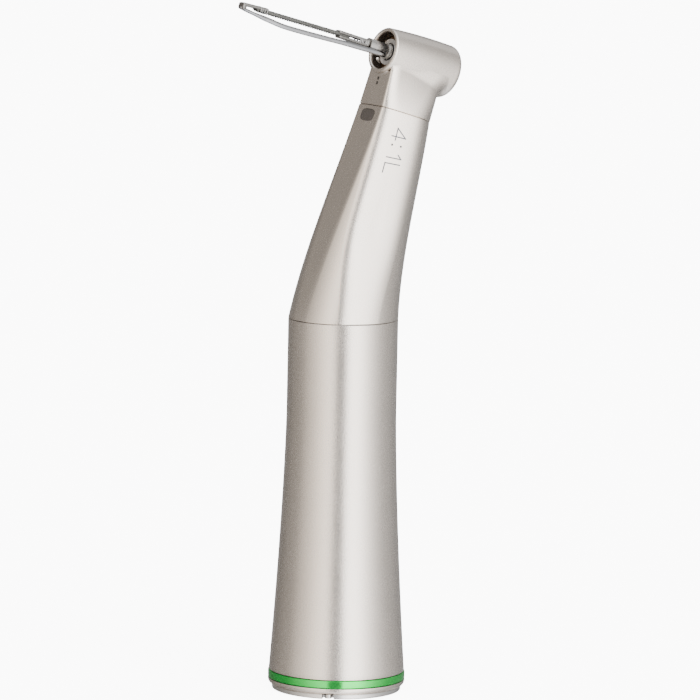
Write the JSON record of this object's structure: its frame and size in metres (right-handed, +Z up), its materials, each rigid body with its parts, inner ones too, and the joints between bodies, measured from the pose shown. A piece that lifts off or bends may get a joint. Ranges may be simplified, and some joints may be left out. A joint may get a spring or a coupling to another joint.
{
  "type": "contra-angle dental handpiece",
  "caption": "Contra-angle handpiece with reduction gearing, a colour ring, light and spray outlets, and a reciprocating head that holds a bow-tensioned abrasive strip.",
  "frame": {"origin": "centre of the coupling mouth, on the base face", "axes": "+Z up the grip towards the head, -X the way the head's open front faces"},
  "size_m": [0.0382, 0.02, 0.1019],
  "materials": {
    "satin_casing": "bead-blasted satin",
    "green_ring": "gloss",
    "coupling_metal": "turned",
    "seal_rubber": "matt",
    "gear_metal": "machined",
    "case_metal": "turned",
    "ball_ceramic": "polished",
    "bush_bronze": "sintered bronze",
    "guide_glass": "clear",
    "window_glass": "smoked",
    "insert_steel": "drawn",
    "strip_grit": "diamond coated",
    "drive_steel": "ground",
    "plain_steel": "ground"
  },
  "bodies": {
    "casing": {"rear_sleeve": "satin_casing", "neck_sleeve": "satin_casing", "head_housing": "satin_casing", "head_cap": "satin_casing", "color_ring": "green_ring", "base_ring": "satin_casing", "coupling_tube": "coupling_metal", "locating_pin": "coupling_metal", "latch_ring": "coupling_metal", "sleeve_seals": "seal_rubber", "joint_nut": "case_metal", "gear_case": "case_metal", "ring_gear": "gear_metal", "input_outer_race": "plain_steel", "carrier_outer_race": "plain_steel", "lower_outer_race": "plain_steel", "upper_outer_race": "plain_steel", "front_bush": "bush_bronze", "rear_bush": "bush_bronze", "light_guide": "guide_glass", "light_window": "window_glass", "water_tube": "plain_steel", "air_tube": "plain_steel", "set_screw": "plain_steel"},
    "input": {"input_shaft": "drive_steel", "dog_pin": "plain_steel", "dog_spring": "plain_steel", "input_circlip": "plain_steel", "input_inner_race": "plain_steel"},
    "dog": {"drive_dog": "drive_steel"},
    "input_ball_set": {"input_balls": "ball_ceramic"},
    "carrier": {"planet_carrier": "drive_steel", "planet_pins": "plain_steel", "carrier_inner_race": "plain_steel", "carrier_circlip": "plain_steel", "rear_crown_gear": "gear_metal"},
    "carrier_ball_set": {"carrier_balls": "ball_ceramic"},
    "planet_1": {"planet_gear_1": "gear_metal"},
    "planet_2": {"planet_gear_2": "gear_metal"},
    "planet_3": {"planet_gear_3": "gear_metal"},
    "neck_drive": {"neck_shaft": "drive_steel", "eccentric_pin": "plain_steel", "neck_crown_gear": "gear_metal", "lower_inner_race": "plain_steel", "upper_inner_race": "plain_steel"},
    "lower_ball_set": {"lower_balls": "ball_ceramic"},
    "upper_ball_set": {"upper_balls": "ball_ceramic"},
    "plunger": {"plunger": "drive_steel", "chuck_clip": "plain_steel"},
    "insert": {"insert_shank": "insert_steel", "bow_rod": "insert_steel", "abrasive_strip": "strip_grit", "near_clamp": "insert_steel", "far_clamp": "insert_steel"}
  },
  "joints": [
    {"name": "carrier_spin", "type": "hinge", "parent": "casing", "child": "carrier", "pos_m": [0, 0, 0.045], "axis": [0, 0, 1], "continuous": true},
    {"name": "input_spin", "type": "hinge", "parent": "casing", "child": "input", "pos_m": [0, 0, 0.0325], "axis": [0, 0, 1], "continuous": true},
    {"name": "dog_slide", "type": "slide", "parent": "input", "child": "dog", "axis": [0, 0, 1], "range_m": [0, 0.0015], "stiffness_N_per_m": 400, "springref_m": -0.0008, "deforming": ["dog_spring"]},
    {"name": "input_balls_spin", "type": "hinge", "parent": "casing", "child": "input_ball_set", "pos_m": [0, 0, 0.0325], "axis": [0, 0, 1], "continuous": true},
    {"name": "carrier_balls_spin", "type": "hinge", "parent": "casing", "child": "carrier_ball_set", "pos_m": [0, 0, 0.045], "axis": [0, 0, 1], "continuous": true},
    {"name": "planet_1_spin", "type": "hinge", "parent": "carrier", "child": "planet_1", "pos_m": [0.00288, 0, 0.038], "axis": [0, 0, 1], "continuous": true},
    {"name": "planet_2_spin", "type": "hinge", "parent": "carrier", "child": "planet_2", "pos_m": [-0.00144, 0.00249, 0.038], "axis": [0, 0, 1], "continuous": true},
    {"name": "planet_3_spin", "type": "hinge", "parent": "carrier", "child": "planet_3", "pos_m": [-0.00144, -0.00249, 0.038], "axis": [0, 0, 1], "continuous": true},
    {"name": "neck_spin", "type": "hinge", "parent": "casing", "child": "neck_drive", "pos_m": [0.00188, 0, 0.0641], "axis": [0.309, 0, 0.9511], "continuous": true},
    {"name": "lower_balls_spin", "type": "hinge", "parent": "casing", "child": "lower_ball_set", "pos_m": [0.00188, 0, 0.0641], "axis": [0.309, 0, 0.9511], "continuous": true},
    {"name": "upper_balls_spin", "type": "hinge", "parent": "casing", "child": "upper_ball_set", "pos_m": [0.00908, 0, 0.08626], "axis": [0.309, 0, 0.9511], "continuous": true},
    {"name": "plunger_slide", "type": "slide", "parent": "casing", "child": "plunger", "axis": [-0.9511, 0, 0.309], "range_m": [-0.0004, 0.0004]},
    {"name": "insert_turn", "type": "hinge", "parent": "plunger", "child": "insert", "pos_m": [0.00707, 0, 0.09301], "axis": [-0.9511, 0, 0.309], "continuous": true}
  ],
  "couplings": [
    {"joint": "input_spin", "follows": "carrier_spin", "ratio": 4},
    {"joint": "input_balls_spin", "follows": "carrier_spin", "ratio": 1.5556},
    {"joint": "carrier_balls_spin", "follows": "carrier_spin", "ratio": 0.38889},
    {"joint": "planet_1_spin", "follows": "carrier_spin", "ratio": -3},
    {"joint": "planet_2_spin", "follows": "carrier_spin", "ratio": -3},
    {"joint": "planet_3_spin", "follows": "carrier_spin", "ratio": -3},
    {"joint": "neck_spin", "follows": "carrier_spin", "ratio": 1},
    {"joint": "lower_balls_spin", "follows": "carrier_spin", "ratio": 0.39535},
    {"joint": "upper_balls_spin", "follows": "carrier_spin", "ratio": 0.39535}
  ]
}
